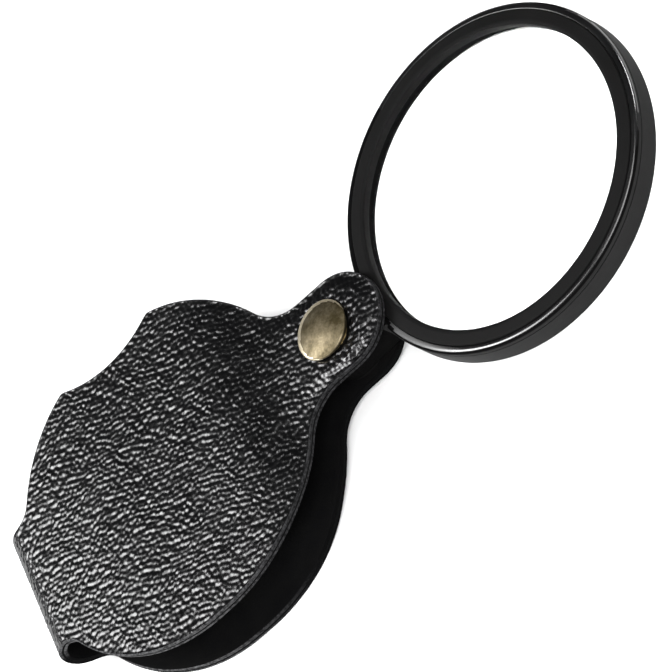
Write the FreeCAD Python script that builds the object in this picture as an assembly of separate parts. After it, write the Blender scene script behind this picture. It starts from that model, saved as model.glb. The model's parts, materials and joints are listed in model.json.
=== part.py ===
import FreeCAD, Part
import math
import os

# Folding pocket magnifying glass. Lengths are in millimetres.
#
# Working frame: the pivot axis is Z through the origin and z = 0 is half-way between the two
# leaves. +X runs from the sleeve through the pivot to the far side of the swung-out lens frame,
# +Z comes out of the front leaf, and the thumb notch is on the +Y side. The last step moves
# everything so that the origin is the centre of the whole object's box, at its lowest point.

V = FreeCAD.Vector
UP = V(0, 0, 1)

# ---- driving dimensions ----------------------------------------------------------------------

# lens frame
RING_R = 30.0              # outside radius: the 60 mm across the frame
BORE_R = 25.9              # clear opening
WALL_BACK_Z = -2.875       # flat back of the frame
WALL_FRONT_Z = 2.075       # where the outer wall starts to round over
CROWN_Z = 2.875            # highest point of the front
LIP_R = 28.65              # inside of the outer lip
LIP_TOP_Z = 2.32
LIP_ROUND = 0.4
EDGE_ROUND = 0.45
BACK_FLARE_Z = -1.9        # the bore opens out behind this
BACK_BORE_R = 26.9
RING_REACH = 37.55         # pivot axis to the frame's centre
OPEN_ANGLE = 5.5           # degrees from +X towards +Y, as the frame stands when it is open

# lens, held between the frame's back flange and the retaining ring
LENS_R = 27.6
LENS_EDGE = 1.6
LENS_SAG = 1.95
LENS_ROOM = 0.03           # all round it

# retaining ring
RETAINER_R = 28.4
RETAINER_STEP_Z = 1.6      # below this it fills the lip, above it a fine groove shows
RETAINER_EDGE_Z = 2.6
BORE_CHAMFER = 0.4

# lug that the rivet passes through
LUG_R = 6.4
LUG_HALF = 2.6
LUG_BITE = 0.9             # how far it runs into the ring
RUNNING_FIT = 0.05

# sleeve
LEATHER = 0.85
LINING = 0.75
EAR_HALF = 4.7             # mid plane to the outside of a leaf at the ear
BELLY_HALF = 6.3           # the same where the leaves stand furthest apart
EAR_FLAT_X = -5.5          # the ears are flat from here outwards
BELLY_X = (-26.0, -46.0)   # the leaves are flat again between these
FOLD_X = -67.7             # centre of the round fold
FOLD_R = 5.1
FOLD_HALF_WIDTH = 12.45
FOLD_Y = 0.45              # the fold's middle, off the sleeve's centre line
FOLD_FLARE_R = 5.0

# outline of a leaf
FRONT_EAR = (2.5, 8.8)     # where the ear's round end is centred, and its radius
BACK_EAR = (1.8, 7.5)
NECK_FILLET_R = 9.0
BODY_R = 29.8
BODY_EAR_X = -37.2
BODY_FOLD_X = -39.7
BODY_Y = -0.4
NOTCH_X = -39.7
NOTCH_BOTTOM_Y = 25.2
NOTCH_R = 22.0

# rivet
CAP_R = 5.4
CAP_RIM_R = 0.6            # the rolled rim, seen in section
CAP_RIM_TURN = 60          # degrees past its widest point where the dome takes over
CAP_SHEET = 0.35
FRONT_CAP = (1.3, 2.45)    # heights of the rolled rim's middle and of the crown
BACK_CAP = (0.75, 1.7)
CAP_SINK = 0.15            # how far the caps press into the leather
CAP_RELIEF = 0.3           # room round a cap in its pressed seat
FLANGE_R = 4.3
FLANGE = 0.35
TUBE_R = 2.4
POST_R = 1.85
POST_HEAD = 0.3            # the post's end, spread over the tube's flange
POST_HEAD_R = 2.3

# washers
WASHER_R = 6.1

BIG = 200.0                # longer than anything that is cut with it


# ---- helpers ---------------------------------------------------------------------------------

def revolve(points):
    """A solid turned about Z from a closed outline of (radius, z) corners."""
    wire = Part.makePolygon([V(r, 0, z) for r, z in points + points[:1]])
    return Part.Face(wire).revolve(V(0, 0, 0), UP, 360)


def disc(radius, low, high, x=0.0, y=0.0):
    return Part.makeCylinder(radius, high - low, V(x, y, low))


def arc(start, through, end):
    return Part.Arc(start, through, end).toShape()


def line(start, end):
    return Part.LineSegment(start, end).toShape()


def arc_about(centre, start, end):
    """The shorter arc about centre from start to end."""
    middle = (start + end) * 0.5 - centre
    return arc(start, centre + middle.normalize() * (start - centre).Length, end)


# ---- sleeve ----------------------------------------------------------------------------------

def side_path(depth):
    """Edges of the sleeve's side view (x along X, z along Z), depth below its outside face, from
    the front ear round the fold to the back ear."""
    tip_x = sum(FRONT_EAR) + 2
    run = (EAR_FLAT_X - BELLY_X[0]) / 2
    rise = (BELLY_HALF - EAR_HALF) / 2
    sweep_r = (run * run + rise * rise) / (2 * rise)
    swell = BELLY_HALF - FOLD_R
    back_run = BELLY_X[1] - FOLD_X
    taper_r = (back_run * back_run / swell + BELLY_HALF + FOLD_R) / 2

    def point(x, z):
        return V(x, 0, z)

    ear_end = point(tip_x, EAR_HALF - depth)
    ear_edge = point(EAR_FLAT_X, EAR_HALF - depth)
    rise_centre = point(EAR_FLAT_X, EAR_HALF + sweep_r)
    crest_centre = point(BELLY_X[0], BELLY_HALF - sweep_r)
    to_crest = (crest_centre - rise_centre).normalize()
    bend = rise_centre + to_crest * (sweep_r + depth)
    belly_start = point(BELLY_X[0], BELLY_HALF - depth)
    belly_end = point(BELLY_X[1], BELLY_HALF - depth)
    taper_centre = point(BELLY_X[1], BELLY_HALF - taper_r)
    fold_centre = point(FOLD_X, 0)
    to_fold = (fold_centre - taper_centre).normalize()
    fold_start = fold_centre + to_fold * (FOLD_R - depth)
    fold_middle = fold_centre - point(FOLD_R - depth, 0)

    def mirror(p):
        return V(p.x, 0, -p.z)

    half = [
        (ear_end, None, ear_edge),
        (ear_edge, rise_centre, bend),
        (bend, crest_centre, belly_start),
        (belly_start, None, belly_end),
        (belly_end, taper_centre, fold_start),
    ]

    def edge(start, centre, end):
        return arc_about(centre, start, end) if centre else line(start, end)

    front = [edge(*e) for e in half]
    back = [edge(mirror(e), c and mirror(c), mirror(s)) for s, c, e in reversed(half)]
    fold = [arc(fold_start, fold_middle, mirror(fold_start))]
    return front + fold + back, ear_end, mirror(ear_end)


def strip(outer_depth, inner_depth):
    """The folded strip between two depths, wide enough to be cut to the leaves' outline."""
    outer, outer_front, outer_back = side_path(outer_depth)
    inner, inner_front, inner_back = side_path(inner_depth)
    ends = [line(outer_front, inner_front), line(outer_back, inner_back)]
    wire = Part.Wire(Part.__sortEdges__(outer + inner + ends))
    face = Part.Face(wire)
    face.translate(V(0, -BODY_R - 5, 0))
    return face.extrude(V(0, 2 * BODY_R + 10, 0))


def fillet_centre(body, edge_y, fillet_r, side, direction):
    """Centre of the fillet that touches both the body's circle and the straight edge at edge_y."""
    y = edge_y + side * fillet_r
    across = y - body.y
    return V(body.x + direction * math.sqrt((BODY_R + fillet_r) ** 2 - across * across), y, 0)


def side_edges(side, ear):
    """One long side of a leaf (side is +1 or -1), from the ear's straight edge to the fold."""
    ear_x, ear_r = ear
    ear_y = side * ear_r
    fold_y = FOLD_Y + side * FOLD_HALF_WIDTH
    body_ear = V(BODY_EAR_X, BODY_Y, 0)
    body_fold = V(BODY_FOLD_X, BODY_Y, 0)
    neck_centre = fillet_centre(body_ear, ear_y, NECK_FILLET_R, side, 1)
    flare_centre = fillet_centre(body_fold, fold_y, FOLD_FLARE_R, side, -1)

    def touch(body, fillet):
        return body + (fillet - body).normalize() * BODY_R

    start = V(ear_x, ear_y, 0)
    neck_start = V(neck_centre.x, ear_y, 0)
    neck_end = touch(body_ear, neck_centre)
    top_ear = V(BODY_EAR_X, BODY_Y + side * BODY_R, 0)
    top_fold = V(BODY_FOLD_X, BODY_Y + side * BODY_R, 0)
    flare_start = touch(body_fold, flare_centre)
    flare_end = V(flare_centre.x, fold_y, 0)
    end = V(FOLD_X - FOLD_R - 3, fold_y, 0)
    return [
        line(start, neck_start),
        arc_about(neck_centre, neck_start, neck_end),
        arc_about(body_ear, neck_end, top_ear),
        line(top_ear, top_fold),
        arc_about(body_fold, top_fold, flare_start),
        arc_about(flare_centre, flare_start, flare_end),
        line(flare_end, end),
    ], start, end


def leaf_outline(ear, low, high):
    """A prism of one leaf's outline with its thumb notch, from low to high."""
    plus, plus_start, plus_end = side_edges(1, ear)
    minus, minus_start, minus_end = side_edges(-1, ear)
    tip = arc(minus_start, V(sum(ear), 0, 0), plus_start)
    edges = [tip, line(plus_end, minus_end)] + plus + minus
    face = Part.Face(Part.Wire(Part.__sortEdges__(edges)))
    face.translate(V(0, 0, low))
    prism = face.extrude(V(0, 0, high - low))
    notch = disc(NOTCH_R, low, high, NOTCH_X, NOTCH_BOTTOM_Y + NOTCH_R)
    return prism.cut(notch)


def sleeve_plies():
    outline = leaf_outline(FRONT_EAR, 0, BIG).fuse(leaf_outline(BACK_EAR, -BIG, 0))
    leaf = LEATHER + LINING
    rivet_hole = disc(TUBE_R, -BIG, BIG)
    seat_z = EAR_HALF - CAP_SINK
    seat_r = CAP_R + CAP_RELIEF
    seats = disc(seat_r, seat_z, BIG).fuse(disc(seat_r, -BIG, -seat_z))
    leather = strip(0, LEATHER).common(outline).cut(rivet_hole).cut(seats)
    lining = strip(LEATHER, leaf).common(outline).cut(rivet_hole)
    return {"sleeve_leather": leather.removeSplitter(), "sleeve_lining": lining.removeSplitter()}


# ---- rivet -----------------------------------------------------------------------------------

def cap(rim_z, height):
    """A solid domed cap standing on z = 0, with a rolled rim."""
    turn = math.radians(CAP_RIM_TURN)
    rim = V(CAP_R - CAP_RIM_R, 0, rim_z)
    foot = V(rim.x, 0, 0)
    rim_under = V(rim.x, 0, rim_z - CAP_RIM_R)
    rim_out = V(CAP_R, 0, rim_z)
    shoulder = rim + V(math.cos(turn), 0, math.sin(turn)) * CAP_RIM_R
    dome_rise = height - shoulder.z
    dome_r = (shoulder.x ** 2 + dome_rise ** 2) / (2 * dome_rise)
    top = V(0, 0, height)
    outline = [
        line(V(0, 0, 0), foot),
        line(foot, rim_under),
        arc(rim_under, rim_out, shoulder),
        arc_about(V(0, 0, height - dome_r), shoulder, top),
        line(top, V(0, 0, 0)),
    ]
    return Part.Face(Part.Wire(outline)).revolve(V(0, 0, 0), UP, 360)


def rivet():
    """Both caps, the tube that the frame turns on and the post set inside it."""
    seat_z = EAR_HALF - CAP_SINK

    def shell(rim_z, height):
        hollow = cap(rim_z, height)
        hollow.translate(V(0, 0, -CAP_SHEET))
        hollow = hollow.common(disc(FLANGE_R, 0, BIG)).fuse(disc(FLANGE_R, 0, FLANGE))
        return cap(rim_z, height).cut(hollow)

    front_cap = shell(*FRONT_CAP)
    front_cap.translate(V(0, 0, seat_z))
    back_cap = shell(*BACK_CAP)
    back_cap.rotate(V(0, 0, 0), V(1, 0, 0), 180)
    back_cap.translate(V(0, 0, -seat_z))
    tube_end = -seat_z
    socket = disc(TUBE_R, tube_end, seat_z).fuse(disc(FLANGE_R, seat_z, seat_z + FLANGE))
    socket = socket.cut(disc(POST_R, tube_end, seat_z + FLANGE))
    post = disc(POST_R, -seat_z, seat_z + FLANGE).fuse(disc(FLANGE_R, -seat_z - FLANGE, -seat_z))
    head = disc(POST_HEAD_R, seat_z + FLANGE, seat_z + FLANGE + POST_HEAD)
    return {
        "rivet_front_cap": front_cap,
        "rivet_socket": socket.removeSplitter(),
        "rivet_back_cap": back_cap,
        "rivet_post": post.fuse(head).removeSplitter(),
    }


def washers():
    inner = EAR_HALF - LEATHER - LINING
    hole = disc(TUBE_R, -BIG, BIG)
    return {
        "front_washer": disc(WASHER_R, LUG_HALF, inner).cut(hole),
        "back_washer": disc(WASHER_R, -inner, -LUG_HALF).cut(hole),
    }


# ---- lens frame ------------------------------------------------------------------------------

def lens_ball_r():
    return (LENS_R ** 2 + LENS_SAG ** 2) / (2 * LENS_SAG)


def lens_half(r):
    """Half the lens's thickness at radius r, with the room round it."""
    ball_r = lens_ball_r()
    rise = math.sqrt(ball_r ** 2 - r ** 2) - math.sqrt(ball_r ** 2 - LENS_R ** 2)
    return LENS_EDGE / 2 + rise + LENS_ROOM


def lens_frame():
    """The moulded ring, with a back flange that opens out behind the lens, and the rivet's lug."""
    seat_r = LENS_R + LENS_ROOM
    e = EDGE_ROUND
    ring = revolve([
        (BACK_BORE_R, WALL_BACK_Z),
        (RING_R - e, WALL_BACK_Z),
        (RING_R, WALL_BACK_Z + e),
        (RING_R, WALL_FRONT_Z),
        (RING_R - LIP_ROUND, LIP_TOP_Z),
        (LIP_R + LIP_ROUND, LIP_TOP_Z),
        (LIP_R, LIP_TOP_Z - LIP_ROUND),
        (LIP_R, lens_half(LENS_R)),
        (seat_r, lens_half(LENS_R)),
        (seat_r, -lens_half(LENS_R)),
        (BORE_R, -lens_half(BORE_R)),
        (BORE_R, BACK_FLARE_Z),
    ])
    ring.translate(V(RING_REACH, 0, 0))
    neck = Part.makeBox(RING_REACH, 2 * LUG_R, 2 * LUG_HALF, V(0, -LUG_R, -LUG_HALF))
    lug = disc(LUG_R, -LUG_HALF, LUG_HALF).fuse(neck)
    lug = lug.cut(disc(RING_R - LUG_BITE, -BIG, BIG, RING_REACH))
    bore = disc(TUBE_R + RUNNING_FIT, -BIG, BIG)
    return ring.fuse(lug).cut(bore).removeSplitter()


def retaining_ring():
    """Fills the lip above the lens, then steps in to leave a fine groove, and is crowned on top."""
    c = BORE_CHAMFER
    ring = revolve([
        (BORE_R, lens_half(BORE_R)),
        (LENS_R, lens_half(LENS_R)),
        (LIP_R, lens_half(LENS_R)),
        (LIP_R, RETAINER_STEP_Z),
        (RETAINER_R, RETAINER_STEP_Z),
        (RETAINER_R, RETAINER_EDGE_Z),
        (RETAINER_R - c, RETAINER_EDGE_Z + c / 2),
        (BORE_R + 2 * c, CROWN_Z),
        (BORE_R + c, CROWN_Z),
        (BORE_R, CROWN_Z - c),
    ])
    ring.translate(V(RING_REACH, 0, 0))
    return ring


def lens():
    """Equally convex both ways, with a flat ground edge."""
    half = LENS_EDGE / 2
    ball_r = lens_ball_r()
    glass = disc(LENS_R, -half - LENS_SAG, half + LENS_SAG)
    for side in (1, -1):
        centre_z = side * (half + LENS_SAG - ball_r)
        glass = glass.common(Part.makeSphere(ball_r, V(0, 0, centre_z)))
    glass.translate(V(RING_REACH, 0, 0))
    return glass


def lens_group():
    group = {"lens_frame": lens_frame(), "retaining_ring": retaining_ring(), "lens": lens()}
    for shape in group.values():
        shape.rotate(V(0, 0, 0), UP, OPEN_ANGLE)
    return group


# ---- assembly --------------------------------------------------------------------------------

def main():
    parts = {}
    parts.update(sleeve_plies())
    parts.update(rivet())
    parts.update(washers())
    parts.update(lens_group())

    box = FreeCAD.BoundBox()
    for shape in parts.values():
        box.add(shape.optimalBoundingBox(False, False))
    shift = V(-box.Center.x, -box.Center.y, -box.ZMin)

    os.makedirs("parts", exist_ok=True)
    for name, shape in parts.items():
        solids = shape.Solids
        shape = solids[0] if len(solids) == 1 else Part.makeCompound(solids)
        shape.translate(shift)
        shape.exportStep("parts/" + name + ".step")
        print(f"{name:18s} solids {len(solids)} valid {shape.isValid()} volume {shape.Volume:9.1f} mm3")
    print(f"size {box.XLength:.3f} x {box.YLength:.3f} x {box.ZLength:.3f} mm")
    print(f"pivot axis at x {shift.x:.3f}, y {shift.y:.3f}; mid plane at z {shift.z:.3f} mm")


main()
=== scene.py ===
import json
import math

import bpy
import numpy as np
from mathutils import Matrix, Vector
from mathutils.geometry import delaunay_2d_cdt


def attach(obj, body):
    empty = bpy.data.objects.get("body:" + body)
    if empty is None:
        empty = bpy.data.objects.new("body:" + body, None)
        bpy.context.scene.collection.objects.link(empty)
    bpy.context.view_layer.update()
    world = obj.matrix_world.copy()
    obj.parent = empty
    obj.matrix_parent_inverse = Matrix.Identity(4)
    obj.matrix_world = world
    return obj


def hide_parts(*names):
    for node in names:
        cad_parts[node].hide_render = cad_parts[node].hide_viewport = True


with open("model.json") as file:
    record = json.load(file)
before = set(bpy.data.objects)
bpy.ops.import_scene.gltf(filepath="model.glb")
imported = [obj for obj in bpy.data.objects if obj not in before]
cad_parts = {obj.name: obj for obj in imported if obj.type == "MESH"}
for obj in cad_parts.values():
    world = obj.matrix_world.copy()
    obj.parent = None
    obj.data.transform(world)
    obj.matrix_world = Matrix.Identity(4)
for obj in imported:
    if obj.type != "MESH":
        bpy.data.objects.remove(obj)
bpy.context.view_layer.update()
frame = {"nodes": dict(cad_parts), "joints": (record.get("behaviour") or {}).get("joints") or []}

# Folding pocket magnifying glass. Shapes are worked out in millimetres about the pivot, with +X
# towards the lens, +Y towards the thumb notch and +Z out of the front leaf, and are put into the
# row frame, in metres, when they become meshes.

MM = 0.001
PIVOT = np.array(frame["joints"][0]["pos_m"])

# ---- lengths that the CAD model shares -------------------------------------------------------

RING_R = 30.0
BORE_R = 25.9
RING_CENTRE = (37.55, math.radians(5.5))    # from the pivot: distance, and angle from +X to +Y
LENS_R = 27.6
LENS_EDGE = 1.6
LENS_SAG = 1.95
TUBE_R = 2.4
CAP_R = 5.4
EAR_HALF = 4.7
BELLY_HALF = 6.3
LEATHER = 0.85
LINING = 0.75
FRONT_EAR = (2.5, 8.8)                      # the ear's round end: x of its centre, radius
BACK_EAR = (1.8, 7.5)
EAR_FLAT_X = -5.5
BELLY_X = (-26.0, -46.0)
FOLD_X = -67.7
FOLD_R = 5.1
FOLD_Y = 0.45
FOLD_HALF_WIDTH = 12.45
FOLD_FLARE_R = 5.0
NECK_FILLET_R = 9.0
BODY_R = 29.8
BODY_EAR = (-37.2, -0.4)
BODY_FOLD = (-39.7, -0.4)
NOTCH = (-39.7, 47.2)
NOTCH_R = 22.0


# ---- meshes ----------------------------------------------------------------------------------

def make_piece(name, points, faces, materials, body, stands_for=()):
    """A smooth-shaded mesh from points in mm about the pivot, riding on a CAD body."""
    mesh = bpy.data.meshes.new(name)
    mesh.from_pydata((np.asarray(points) * MM + PIVOT).tolist(), [], faces)
    mesh.validate()
    piece = bpy.data.objects.new(name, mesh)
    bpy.context.scene.collection.objects.link(piece)
    for material in materials:
        mesh.materials.append(material)
    mesh.shade_smooth()
    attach(piece, body)
    if stands_for:
        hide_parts(*stands_for)
    return piece


def rounded(corners, steps=6):
    """A closed outline from (r, z, radius) corners, each rounded to its own radius."""
    outline = []
    count = len(corners)
    for i, (r, z, radius) in enumerate(corners):
        here = np.array([r, z])
        if radius == 0:
            outline.append(here)
            continue
        before = np.array(corners[i - 1][:2]) - here
        after = np.array(corners[(i + 1) % count][:2]) - here
        before /= np.linalg.norm(before)
        after /= np.linalg.norm(after)
        half = math.acos(np.clip(before @ after, -1, 1)) / 2
        reach = radius / math.tan(half)
        middle = before + after
        centre = here + middle / np.linalg.norm(middle) * radius / math.sin(half)
        start = here + before * reach - centre
        end = here + after * reach - centre
        turn = math.pi - 2 * half
        for k in range(steps + 1):
            t = k / steps
            mix = (start * math.sin((1 - t) * turn) + end * math.sin(t * turn)) / math.sin(turn)
            outline.append(centre + mix)
    return outline


def turned(outline, segments, closed=True):
    """Points and faces of an outline of (r, z) turned about Z. Points on the axis are shared."""
    points = []
    rings = []
    for r, z in outline:
        if r < 1e-6:
            rings.append([len(points)] * segments)
            points.append((0, 0, z))
            continue
        rings.append(list(range(len(points), len(points) + segments)))
        for k in range(segments):
            a = 2 * math.pi * k / segments
            points.append((r * math.cos(a), r * math.sin(a), z))
    faces = []
    count = len(rings)
    for i in range(count if closed else count - 1):
        one = rings[i]
        two = rings[(i + 1) % count]
        for k in range(segments):
            n = (k + 1) % segments
            corners = [one[k], one[n], two[n], two[k]]
            face = list(dict.fromkeys(corners))
            if len(face) > 2:
                faces.append(face)
    return np.array(points), faces


def ring_place(points):
    """Moves a turned shape from the axis to the lens frame's centre."""
    reach, angle = RING_CENTRE
    return points + (reach * math.cos(angle), reach * math.sin(angle), 0)


# ---- the sleeve's side view ------------------------------------------------------------------

def side_view(step=0.05):
    """The outside of the folded strip, seen from the side: for each length s along it, from the
    front ear round the fold to the back ear, its x, z and outward normal."""
    run = (EAR_FLAT_X - BELLY_X[0]) / 2
    rise = (BELLY_HALF - EAR_HALF) / 2
    sweep_r = (run * run + rise * rise) / (2 * rise)
    sweep = math.asin(run / sweep_r)
    back_run = BELLY_X[1] - FOLD_X
    swell = BELLY_HALF - FOLD_R
    taper_r = (back_run * back_run / swell + BELLY_HALF + FOLD_R) / 2
    taper = math.atan(back_run / (taper_r - BELLY_HALF))
    tip_x = sum(FRONT_EAR) + 2
    half = [
        (tip_x - EAR_FLAT_X, 0),
        (sweep_r * sweep, -sweep),
        (sweep_r * sweep, sweep),
        (BELLY_X[0] - BELLY_X[1], 0),
        (taper_r * taper, taper),
        (FOLD_R * (math.pi / 2 - taper), math.pi / 2 - taper),
    ]
    whole = half + half[::-1]
    lengths = np.cumsum([0] + [length for length, turn in whole])
    turns = np.cumsum([0] + [turn for length, turn in whole])
    s = np.linspace(0, lengths[-1], int(lengths[-1] / step) + 1)
    heading = math.pi + np.interp(s, lengths, turns)
    middle = (heading[1:] + heading[:-1]) / 2
    ds = np.diff(s)
    x = tip_x + np.concatenate([[0], np.cumsum(np.cos(middle) * ds)])
    z = EAR_HALF + np.concatenate([[0], np.cumsum(np.sin(middle) * ds)])
    return s, x, z, np.sin(heading), -np.cos(heading)


SIDE = side_view()
STRIP = SIDE[0][-1]


def fold_up(s, y, depth):
    """Where the sleeve has the flat strip's points (s, y), at depth below its outside."""
    s_all, x, z, nx, nz = SIDE
    at = [np.interp(s, s_all, v) for v in (x, z, nx, nz)]
    return np.column_stack([at[0] - at[2] * depth, y, at[1] - at[3] * depth])


def along(x, front):
    """Length along the strip of the place at x on the front or back leaf."""
    s_all, xs = SIDE[:2]
    half = len(s_all) // 2 + 1
    s = np.interp(-np.asarray(x), -xs[:half], s_all[:half])
    return s if front else STRIP - s


# ---- the sleeve's outline --------------------------------------------------------------------

def arc_points(centre, start, end, step=0.1):
    """Points on the shorter arc about centre."""
    a = math.atan2(start[1] - centre[1], start[0] - centre[0])
    b = math.atan2(end[1] - centre[1], end[0] - centre[0])
    turn = (b - a + math.pi) % (2 * math.pi) - math.pi
    radius = math.dist(centre, start)
    angles = a + np.linspace(0, turn, max(2, int(abs(turn) * radius / step)))
    return centre + radius * np.column_stack([np.cos(angles), np.sin(angles)])


def line_points(start, end, step=0.1):
    """Points on a straight line."""
    count = max(2, int(math.dist(start, end) / step))
    return np.linspace(start, end, count)


def touching(body, edge_y, radius, side, direction):
    """Centre of the fillet that touches the body's circle and the straight edge at edge_y, and the
    point where it touches the circle."""
    y = edge_y + side * radius
    reach = BODY_R + radius
    x = body[0] + direction * math.sqrt(reach ** 2 - (y - body[1]) ** 2)
    touch = (body[0] + (x - body[0]) * BODY_R / reach, body[1] + (y - body[1]) * BODY_R / reach)
    return (x, y), touch


def leaf_side(side, ear):
    """One long edge of a leaf in (x, y), from the ear's tip to the fold's middle."""
    ear_x, ear_r = ear
    ear_y = side * ear_r
    fold_y = FOLD_Y + side * FOLD_HALF_WIDTH
    neck, neck_end = touching(BODY_EAR, ear_y, NECK_FILLET_R, side, 1)
    flare, flare_start = touching(BODY_FOLD, fold_y, FOLD_FLARE_R, side, -1)
    top_ear = (BODY_EAR[0], BODY_EAR[1] + side * BODY_R)
    top_fold = (BODY_FOLD[0], BODY_FOLD[1] + side * BODY_R)
    points = np.concatenate([
        arc_points((ear_x, 0), (ear_x + ear_r, 0), (ear_x, ear_y)),
        line_points((ear_x, ear_y), (neck[0], ear_y)),
        arc_points(neck, (neck[0], ear_y), neck_end),
        arc_points(BODY_EAR, neck_end, top_ear),
        line_points(top_ear, top_fold),
        arc_points(BODY_FOLD, top_fold, flare_start),
        arc_points(flare, flare_start, (flare[0], fold_y)),
        line_points((flare[0], fold_y), (FOLD_X - FOLD_R, fold_y)),
    ])
    if side > 0:
        points = cut_notch(points)
    return points


def cut_notch(points):
    """Takes the thumb notch's circle out of an edge."""
    first, last = np.flatnonzero(np.linalg.norm(points - NOTCH, axis=1) < NOTCH_R)[[0, -1]]
    notch = arc_points(NOTCH, points[first - 1], points[last + 1])
    return np.concatenate([points[:first], notch, points[last + 1:]])


OUTLINE_STEP = 0.05
CORNER_EASE = 0.45                          # how widely the outline's sharp corners are eased


def strip_outline(spacing):
    """The flat strip's closed outline in (s, y), evenly spaced, with its sharp corners eased."""
    def run(side):
        front = leaf_side(side, FRONT_EAR)
        back = leaf_side(side, BACK_EAR)[::-1]
        s = np.concatenate([along(front[:, 0], True), along(back[:, 0], False)])
        return np.column_stack([s, np.concatenate([front[:, 1], back[:, 1]])])

    loop = np.concatenate([run(1), run(-1)[::-1]])
    loop = resample(loop, OUTLINE_STEP)
    reach = int(3 * CORNER_EASE / OUTLINE_STEP)
    weights = np.exp(-0.5 * (np.arange(-reach, reach + 1) * OUTLINE_STEP / CORNER_EASE) ** 2)
    weights /= weights.sum()
    padded = np.concatenate([loop[-reach:], loop, loop[:reach]])
    loop = np.column_stack([np.convolve(padded[:, k], weights, "valid") for k in (0, 1)])
    return resample(loop, spacing)


def resample(loop, spacing):
    """A closed loop, evenly spaced."""
    closed = np.concatenate([loop, loop[:1]])
    steps = np.linalg.norm(np.diff(closed, axis=0), axis=1)
    keep = np.concatenate([[True], steps > 1e-6])
    closed = closed[keep]
    length = np.concatenate([[0], np.cumsum(np.linalg.norm(np.diff(closed, axis=0), axis=1))])
    at = np.linspace(0, length[-1], int(length[-1] / spacing) + 1)[:-1]
    return np.column_stack([np.interp(at, length, closed[:, k]) for k in (0, 1)])


def inward(loop):
    """Unit normals of a closed loop, pointing into it."""
    ahead = np.roll(loop, -1, axis=0) - np.roll(loop, 1, axis=0)
    ahead /= np.linalg.norm(ahead, axis=1)[:, None]
    area = np.sum(loop[:, 0] * np.roll(loop[:, 1], -1) - np.roll(loop[:, 0], -1) * loop[:, 1])
    return np.column_stack([-ahead[:, 1], ahead[:, 0]]) * np.sign(area)


def gap_to(points, loop):
    """Distance from each point to the nearest of the loop's points."""
    out = np.empty(len(points))
    for i in range(0, len(points), 4000):
        part = points[i:i + 4000]
        square = ((part[:, None, :] - loop[None, :, :]) ** 2).sum(2)
        out[i:i + 4000] = np.sqrt(square.min(1))
    return out


# ---- leather grain ---------------------------------------------------------------------------

GRAIN_ALONG = 0.82                          # pebble spacing along the rows, and from row to row
GRAIN_ACROSS = 0.95
GRAIN_TURN = math.radians(-22)              # the rows' slant on the front leaf
GRAIN_STRAY = (0.75, 0.6)                   # how far pebbles stray from the grid, of its steps
PEBBLE_R = 0.62                             # a pebble's radius, in steps of the grid
GRAIN_HEIGHT = 0.15
RIPPLE = 0.008


def pebble_centre(q):
    """For each point, in steps of the pebbles' grid, how far it is from the nearest centre."""
    size = 256
    table = np.random.default_rng(11).random((size, size, 2))
    base = np.floor(q).astype(int)
    near = np.full(len(q), 9.0)
    for i in (-1, 0, 1):
        for j in (-1, 0, 1):
            cell = base + (i, j)
            stray = table[cell[:, 0] % size, cell[:, 1] % size] - 0.5
            spot = cell + 0.5 + stray * GRAIN_STRAY
            near = np.minimum(near, np.linalg.norm(q - spot, axis=1))
    return near


def grain(s, y):
    """Height of the pebble grain over the flat strip, from -GRAIN_HEIGHT - 4 RIPPLE to 0."""
    c, n = math.cos(GRAIN_TURN), math.sin(GRAIN_TURN)
    ahead, across = -s * c + y * n, s * n + y * c
    across = across + 0.35 * np.sin(ahead / 2.7 + 1.3 * np.sin(across / 3.9))
    ahead = ahead + 0.4 * np.sin(across / 2.3 + 1.1 * np.sin(ahead / 4.7))
    centre = pebble_centre(np.column_stack([ahead / GRAIN_ALONG, across / GRAIN_ACROSS]))
    dome = np.clip(1 - (centre / PEBBLE_R) ** 2, 0, 1)
    size = 0.88 + 0.12 * np.sin(ahead / 0.9 + 2 * np.sin(across / 1.3))
    ripple = np.sin(s / 0.61 + 1.9 * np.sin(y / 2.3)) + np.sin(y / 0.52 + 1.7 * np.sin(s / 2.9))
    return GRAIN_HEIGHT * (size * dome - 1) + RIPPLE * (ripple - 2)


# ---- a ply of the sleeve ---------------------------------------------------------------------

HOLE_SPOTS = ((along(0, True), 0), (along(0, False), 0))    # the rivet holes on the flat strip
FINE_PAST_FOLD = 3.0                        # the fine grid ends this far past the fold's middle
INSIDE_GRID = 1.0
SHAKE = 0.08                                # of the grid, so that no rows show
ROUND_STEPS = 4                             # bands of faces round each edge of a ply


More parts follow.
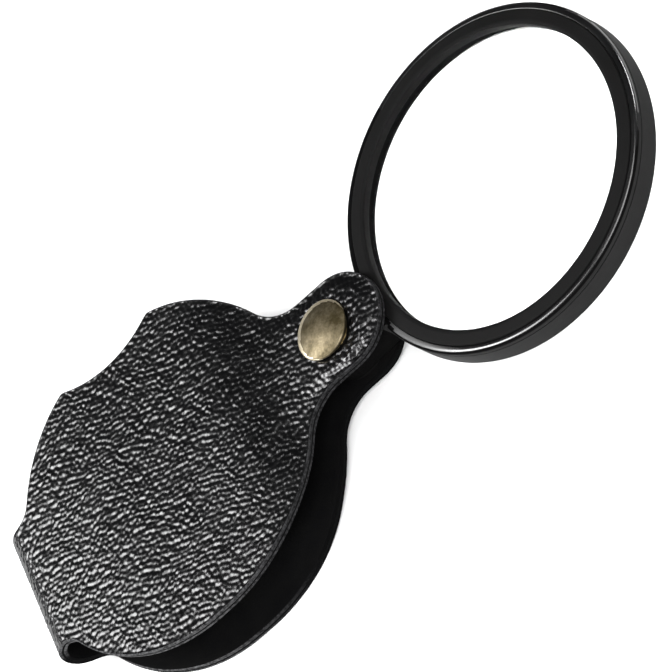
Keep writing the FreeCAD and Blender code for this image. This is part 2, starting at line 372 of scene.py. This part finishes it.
def ply(outer_depth, thickness, fine, coarse, inset, edge_r, relief):
    """A closed skin of one ply: a finely divided outside (fine on the front leaf and the fold,
    coarse on the back leaf), rounded edges, and a plain inside.
    relief(points, gap) gives the outside's height. Returns points, faces, and the edge's faces in
    bands from the outside to the inside."""
    outline = strip_outline(1.4 * fine)
    normals = inward(outline)
    outline = outline + normals * inset
    holes = [hole_loop(spot, fine) for spot in HOLE_SPOTS]

    def rims(gap):
        """The outline and both holes, moved into the ply by gap."""
        grown = [hole + (hole - spot) / TUBE_R * gap for hole, spot in zip(holes, HOLE_SPOTS)]
        return [outline + normals * gap] + grown

    flat, top = sheet(rims(edge_r), TUBE_R + edge_r, fine, coarse)
    heights = relief(flat, gap_to(flat, outline))
    points = [fold_up(flat[:, 0], flat[:, 1], outer_depth - heights)]
    faces = top[:, ::-1].tolist()
    edges = loop_edges(rims(0))
    rim_heights = heights[:len(edges)]
    before = np.arange(len(edges))
    bands = []
    made = len(flat)
    for gap, depth, share in edge_stations(edge_r, thickness):
        rim = np.concatenate(rims(gap))
        points.append(fold_up(rim[:, 0], rim[:, 1], outer_depth + depth - share * rim_heights))
        here = np.arange(made, made + len(edges))
        made += len(edges)
        bands.append([[here[i], here[j], before[j], before[i]] for i, j in edges])
        before = here
    under, bottom = sheet(rims(edge_r), TUBE_R + edge_r, INSIDE_GRID, INSIDE_GRID)
    inner = under[len(edges):]
    points.append(fold_up(inner[:, 0], inner[:, 1], outer_depth + thickness))
    index = np.concatenate([before, np.arange(made, made + len(inner))])
    faces += index[bottom].tolist()
    return np.concatenate(points), faces, bands


def hole_loop(spot, spacing):
    """A rivet hole's closed loop on the flat strip."""
    count = int(2 * math.pi * TUBE_R / spacing)
    a = np.arange(count) * 2 * math.pi / count
    return np.column_stack([spot[0] + TUBE_R * np.cos(a), TUBE_R * np.sin(a)])


def loop_edges(rims):
    """The edges of closed loops, as pairs of places in all the loops' points put end to end."""
    edges = []
    start = 0
    for rim in rims:
        count = len(rim)
        edges += [(start + i, start + (i + 1) % count) for i in range(count)]
        start += count
    return edges


def edge_stations(edge_r, thickness):
    """How an edge goes round from the outside to the inside. Each station has its distance in from
    the cut edge, its depth, and how much of the outside's relief it keeps."""
    outer = []
    inner = []
    for k in range(1, ROUND_STEPS + 1):
        a = math.pi / 2 * k / ROUND_STEPS
        near = edge_r * (1 - math.sin(a))
        far = edge_r * (1 - math.cos(a))
        outer.append((near, far, 1 - k / ROUND_STEPS))
        inner.append((far, thickness - near, 0))
    return outer + [(0, thickness / 2, 0), (0, thickness - edge_r, 0)] + inner


def lattice(low, high, grid):
    """Evenly spread points, a little shaken, over a rectangle of the strip."""
    rows = np.arange(low[1], high[1], grid * 3 ** 0.5 / 2)
    columns = np.arange(low[0], high[0], grid)
    places = np.array([(c + (r % 2) * grid / 2, y) for r, y in enumerate(rows) for c in columns])
    return places + np.random.default_rng(5).uniform(-SHAKE, SHAKE, places.shape) * grid


def sheet(rims, hole_r, fine, coarse):
    """Triangles that fill the first rim, but for the holes that the others go round. The rims'
    points come first."""
    low, high = rims[0].min(0), rims[0].max(0)
    change = STRIP / 2 + FINE_PAST_FOLD
    fill = np.concatenate([
        lattice(low, (change, high[1]), fine),
        lattice((change + (fine + coarse) / 2, low[1]), high, coarse),
    ])
    fill = fill[inside(fill, rims[0])]
    room = gap_to(fill, np.concatenate(rims))
    fill = fill[room > 0.6 * np.where(fill[:, 0] < change, fine, coarse)]
    for spot in HOLE_SPOTS:
        fill = fill[np.linalg.norm(fill - spot, axis=1) > hole_r]
    flat = np.concatenate(rims + [fill])
    made = delaunay_2d_cdt([Vector(p) for p in flat], loop_edges(rims), [], 1, 1e-7)
    corners = np.array(made[2])
    middle = flat[corners].mean(1)
    for spot in HOLE_SPOTS:
        outside = np.linalg.norm(middle - spot, axis=1) > hole_r - 1e-6
        corners, middle = corners[outside], middle[outside]
    return flat, corners


def inside(points, loop):
    """Which points are inside a closed loop."""
    result = np.zeros(len(points), bool)
    y = points[:, 1]
    order = np.argsort(y)
    ys = y[order]
    following = np.roll(loop, -1, axis=0)
    for (x1, y1), (x2, y2) in zip(loop, following):
        if y1 == y2:
            continue
        low, high = sorted((y1, y2))
        rows = order[np.searchsorted(ys, low, "left"):np.searchsorted(ys, high, "left")]
        crossing = x1 + (points[rows, 1] - y1) * (x2 - x1) / (y2 - y1)
        result[rows] ^= points[rows, 0] < crossing
    return result


# ---- materials -------------------------------------------------------------------------------

class Nodes:
    """A material being built: adds nodes and links them by name."""

    def __init__(self, name):
        self.material = bpy.data.materials.new(name)
        self.material.use_nodes = True
        self.tree = self.material.node_tree
        self.shader = self.tree.nodes["Principled BSDF"]
        self.place = self.add("ShaderNodeTexCoord").outputs["Object"]
        self.axes = None

    def add(self, kind, **settings):
        """A node with its own settings, such as operation, set."""
        node = self.tree.nodes.new(kind)
        for name, value in settings.items():
            setattr(node, name, value)
        return node

    def put(self, node, **inputs):
        """Fills a node's inputs, named with _ for each space."""
        for name, value in inputs.items():
            self.fill(node.inputs[name.replace("_", " ")], value)

    def fill(self, socket, value):
        """Links another node's output to a socket, or sets the socket to a constant."""
        if isinstance(value, bpy.types.NodeSocket):
            self.tree.links.new(value, socket)
        else:
            socket.default_value = value

    def axis(self, name, factor):
        """The place along one axis of the row frame, in metres, times factor."""
        if not self.axes:
            split = self.add("ShaderNodeSeparateXYZ")
            self.put(split, Vector=self.place)
            self.axes = split.outputs
        return self.math("MULTIPLY", self.axes[name], factor)

    def noise(self, scale, detail=2.0, roughness=0.5):
        node = self.add("ShaderNodeTexNoise")
        self.put(node, Vector=self.place, Scale=scale, Detail=detail, Roughness=roughness)
        return node.outputs["Fac"]

    def ramp(self, value, *stops):
        """Value turned to a colour or a grey: stops are (position, grey or (r, g, b))."""
        node = self.add("ShaderNodeValToRGB")
        elements = node.color_ramp.elements
        for i, (position, colour) in enumerate(stops):
            element = elements[i] if i < 2 else elements.new(position)
            element.position = position
            rgb = (colour,) * 3 if isinstance(colour, (int, float)) else colour
            element.color = (*rgb, 1)
        self.put(node, Fac=value)
        return node.outputs["Color"]

    def blend(self, factor, one, two, mode="MIX"):
        """Two colours mixed by factor."""
        node = self.add("ShaderNodeMix", data_type="RGBA", blend_type=mode)
        sockets = [s for s in node.inputs if s.enabled]
        for socket, value in zip(sockets, (factor, one, two)):
            self.fill(socket, value)
        return next(s for s in node.outputs if s.enabled)

    def math(self, operation, *values):
        node = self.add("ShaderNodeMath", operation=operation)
        for socket, value in zip(node.inputs, values):
            self.fill(socket, value)
        return node.outputs["Value"]

    def bump(self, height, distance, strength):
        node = self.add("ShaderNodeBump")
        self.put(node, Height=height, Distance=distance, Strength=strength)
        return node.outputs["Normal"]

    def grazing(self, start, end):
        """0 where the surface faces the view, rising to 1 where it is seen edge on."""
        facing = self.add("ShaderNodeLayerWeight").outputs["Facing"]
        return self.ramp(facing, (start, 0.0), (end, 1.0))

    def finish(self, **inputs):
        """Sets the shader's inputs and returns the material."""
        self.put(self.shader, **inputs)
        return self.material


def leather_material():
    m = Nodes("leather")
    patches = m.noise(160, 3)
    pores = m.noise(2600, 2)
    colour = m.ramp(patches, (0.3, (0.0008, 0.0008, 0.0009)), (0.7, (0.0014, 0.0014, 0.0015)))
    gloss = m.ramp(patches, (0.25, 0.19), (0.75, 0.25))
    rough = m.blend(m.grazing(0.6, 0.9), gloss, (0.7, 0.7, 0.7, 1))
    normal = m.bump(pores, 0.00001, 0.3)
    return m.finish(Base_Color=colour, Roughness=rough, Normal=normal)


def edge_material():
    """Burnished cut edge: speckled grey as painted reflection, paler towards the fold as painted
    highlight; black as painted shade low down, off the front leaf and a stretch before the fold.
    """
    m = Nodes("edge paint, painted light")
    smear = m.noise(1900, 4, 0.6)
    level = m.axis("Z", 100.0)
    back = m.axis("X", -10.0)
    # Painted shade: where the edge is low it is painted black, but for a stretch of both leaves
    # before the fold.
    high = m.ramp(level, (0.7, 0.0), (0.93, 1.0))
    near_fold = m.ramp(back, (0.2, 0.0), (0.45, 1.0), (0.6, 1.0), (0.64, 0.0))
    painted_light_share = m.math("MAXIMUM", high, near_fold)
    # Painted reflection: the edge's grey, in two speckled tones; the paler one, which takes over
    # towards the fold, is painted highlight.
    new = m.ramp(smear, (0.38, (0.004, 0.004, 0.0042)), (0.62, (0.024, 0.024, 0.025)))
    paler_highlight_grey = m.ramp(smear, (0.38, (0.012, 0.012, 0.0125)), (0.62, (0.075, 0.075, 0.077)))
    wear_and_highlight = m.blend(m.ramp(back, (0.2, 0.0), (0.5, 1.0)), new, paler_highlight_grey)
    # Black where painted shade falls, grey where the painted reflection shows.
    colour = m.blend(painted_light_share, (0.0015, 0.0015, 0.0016, 1), wear_and_highlight)
    rough = m.ramp(smear, (0.3, 0.8), (0.7, 0.95))
    normal = m.bump(smear, 0.00012, 0.5)
    return m.finish(Base_Color=colour, Roughness=rough, Specular_IOR_Level=0.02, Normal=normal)


def lining_material():
    m = Nodes("lining")
    fibres = m.noise(6500, 3, 0.6)
    clouds = m.noise(240, 3)
    colour = m.ramp(clouds, (0.3, (0.002, 0.002, 0.0022)), (0.7, (0.003, 0.003, 0.003)))
    normal = m.bump(fibres, 0.00006, 0.7)
    return m.finish(Base_Color=colour, Roughness=0.9, Specular_IOR_Level=0.03, Normal=normal)


def brass_material(name, dark, pale, roughness):
    """Brass with cloudy tarnish, and painted shade that darkens it towards the lens and the thumb
    notch's side.
    """
    m = Nodes(name)
    # Painted shade: a slope that darkens the colour towards +X and +Y, added to the tarnish's
    # clouds.
    side = m.math("ADD", m.axis("X", -20.0), m.axis("Y", -20.0))
    clouds = m.math("ADD", m.noise(420, 4, 0.6), side)
    specks = m.noise(2600, 3)
    tarnish_and_shade = m.ramp(clouds, (0.32, dark), (0.68, pale))
    wear_and_highlight = m.ramp(specks, (0.35, 0.72), (0.6, 1.0))
    colour = m.blend(1.0, tarnish_and_shade, wear_and_highlight, mode="MULTIPLY")
    rough = m.ramp(clouds, (0.3, roughness + 0.1), (0.7, roughness - 0.04))
    normal = m.bump(specks, 0.00003, 0.5)
    return m.finish(Base_Color=colour, Metallic=1.0, Roughness=rough, Normal=normal)


def plastic_material(name, grey, roughness, shine=0.3, rubbed=0.0):
    """Black moulded plastic. Where the sleeve's ears rub it, it is rougher by rubbed."""
    m = Nodes(name)
    haze = m.noise(110, 3)
    grit = m.noise(7000, 2)
    colour = m.ramp(haze, (0.3, grey * 0.85), (0.7, grey * 1.15))
    rough = m.ramp(haze, (0.3, roughness - 0.03), (0.7, roughness + 0.04))
    if rubbed:
        rough = m.math("ADD", rough, m.ramp(m.axis("X", 40.0), (0.55, rubbed), (0.9, 0.0)))
    normal = m.bump(grit, 0.000008, 0.5)
    return m.finish(Base_Color=colour, Roughness=rough, Specular_IOR_Level=shine, Normal=normal)


def glass_material():
    """Clear glass that lets lamps through, so that the floor under the lens stays bright."""
    m = Nodes("lens glass")
    haze = m.noise(60, 2)
    tint = m.ramp(haze, (0.3, (0.985, 0.995, 0.99)), (0.7, (0.995, 1.0, 0.998)))
    m.finish(Base_Color=tint, Roughness=0.0, IOR=1.49, Transmission_Weight=1.0)
    path = m.add("ShaderNodeLightPath").outputs["Is Shadow Ray"]
    clear = m.add("ShaderNodeBsdfTransparent")
    m.put(clear, Color=(0.93, 0.94, 0.935, 1))
    choice = m.add("ShaderNodeMixShader")
    shaders = (m.shader.outputs["BSDF"], clear.outputs["BSDF"])
    for socket, value in zip(choice.inputs, (path, *shaders)):
        m.fill(socket, value)
    m.put(m.tree.nodes["Material Output"], Surface=choice.outputs["Shader"])
    return m.material


def floor_material():
    m = Nodes("floor")
    haze = m.noise(3, 2)
    colour = m.ramp(haze, (0.3, 0.73), (0.7, 0.75))
    return m.finish(Base_Color=colour, Roughness=0.7)


# ---- the sleeve ------------------------------------------------------------------------------

EDGE_EASE = (0.1, 0.9)                      # the outside falls by this much, over this width
EAR_LIFT = (0.26, 0.1)                      # how far the front and the back ear swell
EAR_LIFT_R = (7.0, 16.0)                    # from the rivet: the swell is whole, then gone
CREASE = (6.9, 0.55, 0.13)                  # pressed up round a cap: radius, width, height
CREASE_SIDE = -0.95                         # its direction from the rivet, in radians


def smooth(t):
    """0 below 0, 1 above 1, and an even S between."""
    t = np.clip(t, 0, 1)
    return t * t * (3 - 2 * t)


def leather_relief(flat, gap):
    """Grain that fades towards the cut edge, an eased edge, and the swell round each rivet cap."""
    s, y = flat[:, 0], flat[:, 1]
    height = grain(s, y) * smooth((gap - 0.15) / 0.4)
    height -= EDGE_EASE[0] * np.clip(1 - gap / EDGE_EASE[1], 0, 1) ** 2
    whole_r, gone_r = EAR_LIFT_R
    crease_r, crease_width, crease_height = CREASE
    for spot, way, lift in zip(HOLE_SPOTS, (1, -1), EAR_LIFT):
        dx = (spot[0] - s) * way
        r = np.hypot(dx, y)
        side = np.clip(np.cos(np.arctan2(y, dx) - CREASE_SIDE), 0, 1) ** 2
        pillow = smooth((gap - 0.8) / 1.8) * smooth((gone_r - r) / (gone_r - whole_r))
        crease = crease_height * np.exp(-((r - crease_r) / crease_width) ** 2) * side
        height += lift * pillow + crease
    return height


def lining_relief(flat, gap):
    """The lining is smooth."""
    return np.zeros(len(flat))


def make_sleeve():
    """Both plies. Their cut edges are painted, but the bands where the plies meet take the lining's
    black, partly its own colour and partly painted shade in the groove between them.
    """
    edge, lining = edge_material(), lining_material()
    points, faces, bands = ply(0, LEATHER, fine=0.27, coarse=0.38, inset=0, edge_r=0.22,
                               relief=leather_relief)
    make_ply("leather_cover", points, faces, bands, [leather_material(), edge, lining],
             range(len(bands) - ROUND_STEPS, len(bands)), "sleeve_leather")
    points, faces, bands = ply(LEATHER, LINING, fine=0.5, coarse=1.0, inset=0.04, edge_r=0.15,
                               relief=lining_relief)
    make_ply("leather_lining", points, faces, bands, [lining, edge, lining],
             range(ROUND_STEPS), "sleeve_lining")


def make_ply(name, points, faces, bands, materials, seam_shade, node):
    """A ply with its own material, then the edge's, then the lining's black on the seam's bands, as
    painted shade in the groove where the plies meet.
    """
    index = [0] * len(faces)
    for k, band in enumerate(bands):
        faces = faces + band
        index += [2 if k in seam_shade else 1] * len(band)
    piece = make_piece(name, points, faces, materials, "sleeve", [node])
    piece.data.polygons.foreach_set("material_index", np.array(index, np.int32))


# ---- the rivet -------------------------------------------------------------------------------

CAP_RIM_R = 0.36                            # the rolled rim's radius
CAP_FOOT_R = CAP_R - 0.15 - CAP_RIM_R
CAP_WORN = 0.5                              # handling has polished the cap this far in
CAP_LEAN = math.radians(3.5)                # the front cap was set a little crooked
CAP_SHIFT = (-0.33, 0.5)


def cap_outline(rim_z, height):
    """Half section of a cap with a rolled rim, standing on z = 0."""
    foot = CAP_FOOT_R
    outline = [(0, 0), (foot * 0.5, 0), (foot - 0.05, 0), (foot, 0.05)]
    for k in range(13):
        a = math.radians(-90 + 150 * k / 12)
        outline.append((foot + CAP_RIM_R * math.cos(a), rim_z + CAP_RIM_R * math.sin(a)))
    shoulder_r, shoulder_z = outline[-1]
    rise = height - shoulder_z
    dome_r = (shoulder_r ** 2 + rise ** 2) / (2 * rise)
    for k in range(1, 25):
        r = shoulder_r * (1 - k / 24)
        outline.append((r, height - dome_r + math.sqrt(dome_r ** 2 - r * r)))
    return outline


def make_caps():
    tarnished = brass_material("antique brass", (0.05, 0.04, 0.02), (0.17, 0.142, 0.092), 0.47)
    wear_and_highlight = brass_material("antique brass, worn", (0.5, 0.43, 0.3), (0.72, 0.64, 0.48), 0.36)
    for name, node, side, rim_z, height, sink, lean, shift in (
        ("front_cap", "rivet_front_cap", 1, 1.3, 2.42, 0.68, CAP_LEAN, CAP_SHIFT),
        ("back_cap", "rivet_back_cap", -1, 0.75, 1.7, 0.15, 0, (0, 0)),
    ):
        points, faces = turned(cap_outline(rim_z, height), 96, closed=False)
        points = points @ np.array(Matrix.Rotation(lean, 3, (-1, -1, 0))).T
        points = points * (1, side, side) + (*shift, side * (EAR_HALF - sink))
        piece = make_piece(name, points, faces, [tarnished, wear_and_highlight], "sleeve",
                           [node])
        middle = np.array([points[face].mean(0) for face in faces])
        rim = np.linalg.norm(middle[:, :2], axis=1) > CAP_R - CAP_WORN
        piece.data.polygons.foreach_set("material_index", rim.astype(np.int32))


# ---- the lens frame --------------------------------------------------------------------------
# Heights are from the mid plane, and radii from the ring's centre.

FRAME_BACK_Z = -2.875
GROOVE_Z = (1.15, 1.38)                     # the groove round the frame, under the lip
GROOVE_DEPTH = 0.15
LIP_TOP_Z = 2.36
LIP_ROUND = 0.85
LIP_INNER_R = 28.65
SEAT_R = 27.63                              # the step that the lens lies in
SEAT_HALF = 0.85
RETAINER_R = 28.56
RETAINER_EDGE_Z = 2.6
LUG_R = 6.4
LUG_HALF = 2.6
LUG_EASE = 0.35
LUG_REACH = 9.0                             # from the pivot into the ring

# The lip is polished where nothing rubs it: above the first height, or the second at its far end.
# The change runs between these distances beyond the ring's centre. By the ears the lip is matt, up
# to the first distance from the pivot, or the second on the thumb notch's side.
LIP_SHINE_Z = (2.24, 1.7)
FAR_END_X = (25.0, 29.0)
MATT_X = (10.0, 25.0)


def make_ring():
    outline = rounded([
        (26.9, FRAME_BACK_Z, 0.12), (RING_R, FRAME_BACK_Z, 0.5),
        (RING_R, GROOVE_Z[0], 0), (RING_R - GROOVE_DEPTH, GROOVE_Z[0], 0),
        (RING_R - GROOVE_DEPTH, GROOVE_Z[1], 0), (RING_R, GROOVE_Z[1], 0),
        (RING_R, LIP_TOP_Z, LIP_ROUND), (LIP_INNER_R, LIP_TOP_Z, 0.1),
        (LIP_INNER_R, SEAT_HALF, 0), (SEAT_R, SEAT_HALF, 0),
        (SEAT_R, -SEAT_HALF, 0), (BORE_R, -1.1, 0.05), (BORE_R, -1.9, 0.2),
    ])
    points, faces = turned(outline, 288)
    ring = make_piece("lens_ring", ring_place(points), faces, [], "lens_group",
                      ["lens_frame"])
    join_lug(ring)
    finish_ring(ring.data)


def make_lug():
    """The tab that the rivet goes through, square where it runs into the ring."""
    hole_r = TUBE_R + 0.05
    count = 96
    rim = []
    hole = []
    for k in range(count):
        a = 2 * math.pi * (k + 0.5) / count
        c, n = math.cos(a), math.sin(a)
        reach = min(LUG_R / abs(n), LUG_REACH / c) if c > 0 else LUG_R
        rim.append((c * reach, n * reach))
        hole.append((c * hole_r, n * hole_r))
    rim, hole = np.array(rim), np.array(hole)
    eased = rim * (1 - LUG_EASE / np.linalg.norm(rim, axis=1))[:, None]
    side = LUG_HALF - LUG_EASE
    loops = [
        (hole, LUG_HALF), (eased, LUG_HALF), (rim, side),
        (rim, -side), (eased, -LUG_HALF), (hole, -LUG_HALF),
    ]
    points = np.concatenate([np.column_stack([loop, np.full(count, z)]) for loop, z in loops])
    faces = []
    for i in range(len(loops)):
        j = (i + 1) % len(loops)
        for k in range(count):
            n = (k + 1) % count
            faces.append([i * count + n, i * count + k, j * count + k, j * count + n])
    c, n = math.cos(RING_CENTRE[1]), math.sin(RING_CENTRE[1])
    return points @ np.array([[c, n, 0], [-n, c, 0], [0, 0, 1]]), faces


def join_lug(ring):
    """Makes the ring and its lug one mesh."""
    points, faces = make_lug()
    mesh = bpy.data.meshes.new("lug")
    mesh.from_pydata((points * MM + PIVOT).tolist(), [], faces)
    lug = bpy.data.objects.new("lug", mesh)
    bpy.context.scene.collection.objects.link(lug)
    union = ring.modifiers.new("lug", "BOOLEAN")
    union.operation = "UNION"
    union.solver = "EXACT"
    union.object = lug
    bpy.context.view_layer.update()
    graph = bpy.context.evaluated_depsgraph_get()
    joined = bpy.data.meshes.new_from_object(ring.evaluated_get(graph))
    ring.modifiers.clear()
    ring.data = joined
    bpy.data.objects.remove(lug)


def finish_ring(mesh):
    """Polished on the lip, as moulded on the wall, and matt elsewhere."""
    mesh.materials.clear()
    mesh.materials.append(plastic_material("frame plastic", 0.0025, 0.18, 1.0, rubbed=0.45))
    mesh.materials.append(plastic_material("frame plastic, moulded", 0.012, 0.55, 0.03))
    mesh.materials.append(plastic_material("frame plastic, matt", 0.0015, 0.8, 0.02))
    middle = np.empty(3 * len(mesh.polygons), np.float32)
    mesh.polygons.foreach_get("center", middle)
    middle = (middle.reshape(-1, 3) - PIVOT) / MM
    centre = ring_place(np.zeros(3))
    x, z = middle[:, 0], middle[:, 2]
    radius = np.linalg.norm(middle[:, :2] - centre[:2], axis=1)
    shine_z = np.interp(x - centre[0], FAR_END_X, LIP_SHINE_Z)
    matt_x = np.where(middle[:, 1] < centre[1], *MATT_X)
    lip = (radius > LIP_INNER_R - 0.01) & (z > shine_z) & (x > matt_x)
    wall = (radius > RING_R - 0.1) & (radius < RING_R + 0.01)
    index = np.where(lip, 0, np.where(wall, 1, 2))
    mesh.polygons.foreach_set("material_index", index.astype(np.int32))
    mesh.shade_smooth()
    mesh.set_sharp_from_angle(angle=math.radians(32))


def make_retainer():
    outline = rounded([
        (BORE_R, 1.15, 0.05), (28.62, 0.9, 0), (28.62, 1.6, 0), (RETAINER_R, 1.6, 0.02),
        (RETAINER_R, RETAINER_EDGE_Z, 0.15), (26.6, 2.78, 0.6), (BORE_R, 2.7, 0.3),
    ])
    points, faces = turned(outline, 288)
    plastic = plastic_material("retainer plastic", 0.0035, 0.6, 0.05)
    make_piece("retainer", ring_place(points), faces, [plastic], "lens_group",
               ["retaining_ring"])


def make_lens():
    ball_r = (LENS_R ** 2 + LENS_SAG ** 2) / (2 * LENS_SAG)
    base = math.sqrt(ball_r ** 2 - LENS_R ** 2)
    outline = []
    for k in range(49):
        r = LENS_R * k / 48
        outline.append((r, -LENS_EDGE / 2 - math.sqrt(ball_r ** 2 - r * r) + base))
    outline += [(r, -z) for r, z in outline[::-1]]
    points, faces = turned(outline, 192, closed=False)
    piece = make_piece("lens_glass", ring_place(points), faces, [glass_material()], "lens_group",
                       ["lens"])
    piece.data.set_sharp_from_angle(angle=math.radians(30))


# ---- the hidden CAD pieces -------------------------------------------------------------------

def finish_nodes():
    """Gives the rivet's inside and the washers their own materials."""
    brass = brass_material("plain brass", (0.38, 0.27, 0.12), (0.62, 0.48, 0.24), 0.3)
    plastic = plastic_material("washer plastic", 0.003, 0.7, 0.05)
    for name, material in (
        ("rivet_socket", brass), ("rivet_post", brass),
        ("front_washer", plastic), ("back_washer", plastic),
    ):
        mesh = frame["nodes"][name].data
        mesh.materials.clear()
        mesh.materials.append(material)


# ---- floor, light and camera -----------------------------------------------------------------

FLOOR_HALF = 4.0


def make_floor():
    corners = ((-1, -1), (1, -1), (1, 1), (-1, 1))
    points = [(x * FLOOR_HALF, y * FLOOR_HALF, 0) for x, y in corners]
    mesh = bpy.data.meshes.new("floor")
    mesh.from_pydata(points, [], [(0, 1, 2, 3)])
    mesh.materials.append(floor_material())
    floor = bpy.data.objects.new("floor", mesh)
    bpy.context.scene.collection.objects.link(floor)


def aim(thing, location, target, roll=0.0):
    """Puts a lamp or the camera at a point, facing another, turned by roll about its own axis."""
    location, target = Vector(location), Vector(target)
    facing = (target - location).to_track_quat("-Z", "Y").to_matrix().to_4x4()
    thing.matrix_world = Matrix.Translation(location) @ facing @ Matrix.Rotation(roll, 4, "Z")


def area_light(name, location, width, height, power, roll=0):
    """A lamp facing the origin, turned by roll degrees about its own axis."""
    data = bpy.data.lights.new(name, "AREA")
    data.shape = "RECTANGLE"
    data.size, data.size_y = width, height
    data.energy = power
    lamp = bpy.data.objects.new(name, data)
    bpy.context.scene.collection.objects.link(lamp)
    lamp.visible_camera = False
    aim(lamp, location, (0, 0, 0), math.radians(roll))


def make_sky():
    """A pale horizon under a dark ceiling."""
    world = bpy.data.worlds.new("studio")
    bpy.context.scene.world = world
    world.use_nodes = True
    tree = world.node_tree
    up = tree.nodes.new("ShaderNodeSeparateXYZ")
    ramp = tree.nodes.new("ShaderNodeValToRGB")
    tree.links.new(tree.nodes.new("ShaderNodeTexCoord").outputs["Generated"], up.inputs[0])
    tree.links.new(up.outputs["Z"], ramp.inputs["Fac"])
    tree.links.new(ramp.outputs["Color"], tree.nodes["Background"].inputs["Color"])
    low, high = ramp.color_ramp.elements
    low.position, high.position = 0.03, 0.35
    low.color, high.color = (0.5, 0.505, 0.51, 1), (0.03, 0.03, 0.033, 1)


def make_lamps():
    """Each lamp's place and size are in metres, and its power in watts."""
    area_light("key", (-0.65, 0.27, 0.81), 0.5, 0.85, 10.5)
    area_light("key core", (-0.66, 0.27, 0.78), 0.24, 0.5, 5)
    area_light("front", (0.66, -1.06, 1.29), 1.2, 1.2, 55)
    area_light("top", (0.15, 0.1, 1.1), 0.42, 0.42, 3)
    area_light("side", (-0.79, -0.55, 0.5), 1.05, 0.08, 12, 26)
    area_light("right", (0.87, 0.46, 0.5), 0.46, 0.08, 5, -26)


CAMERA_AZIMUTH = math.radians(31.79)        # from -Y towards +X
CAMERA_ELEVATION = math.radians(45.89)
CAMERA_ROLL = math.radians(-65.77)
CAMERA_DISTANCE = 1.012                     # metres
CAMERA_AIM = (-0.599, 1.026, 1.151)         # from the pivot
CAMERA_LENS = 331.2


def make_camera():
    level = math.cos(CAMERA_ELEVATION)
    back = Vector((
        math.sin(CAMERA_AZIMUTH) * level,
        -math.cos(CAMERA_AZIMUTH) * level,
        math.sin(CAMERA_ELEVATION),
    ))
    target = Vector(PIVOT) + Vector(CAMERA_AIM) * MM
    data = bpy.data.cameras.new("camera")
    data.sensor_width = 36
    data.lens = CAMERA_LENS
    data.clip_start, data.clip_end = 0.05, 20
    camera = bpy.data.objects.new("camera", data)
    bpy.context.scene.collection.objects.link(camera)
    aim(camera, target + back * CAMERA_DISTANCE, target, CAMERA_ROLL)
    bpy.context.scene.camera = camera


make_sleeve()
make_caps()
make_ring()
make_retainer()
make_lens()
finish_nodes()
make_floor()
make_sky()
make_lamps()
make_camera()

bpy.context.scene.view_settings.view_transform = "Standard"
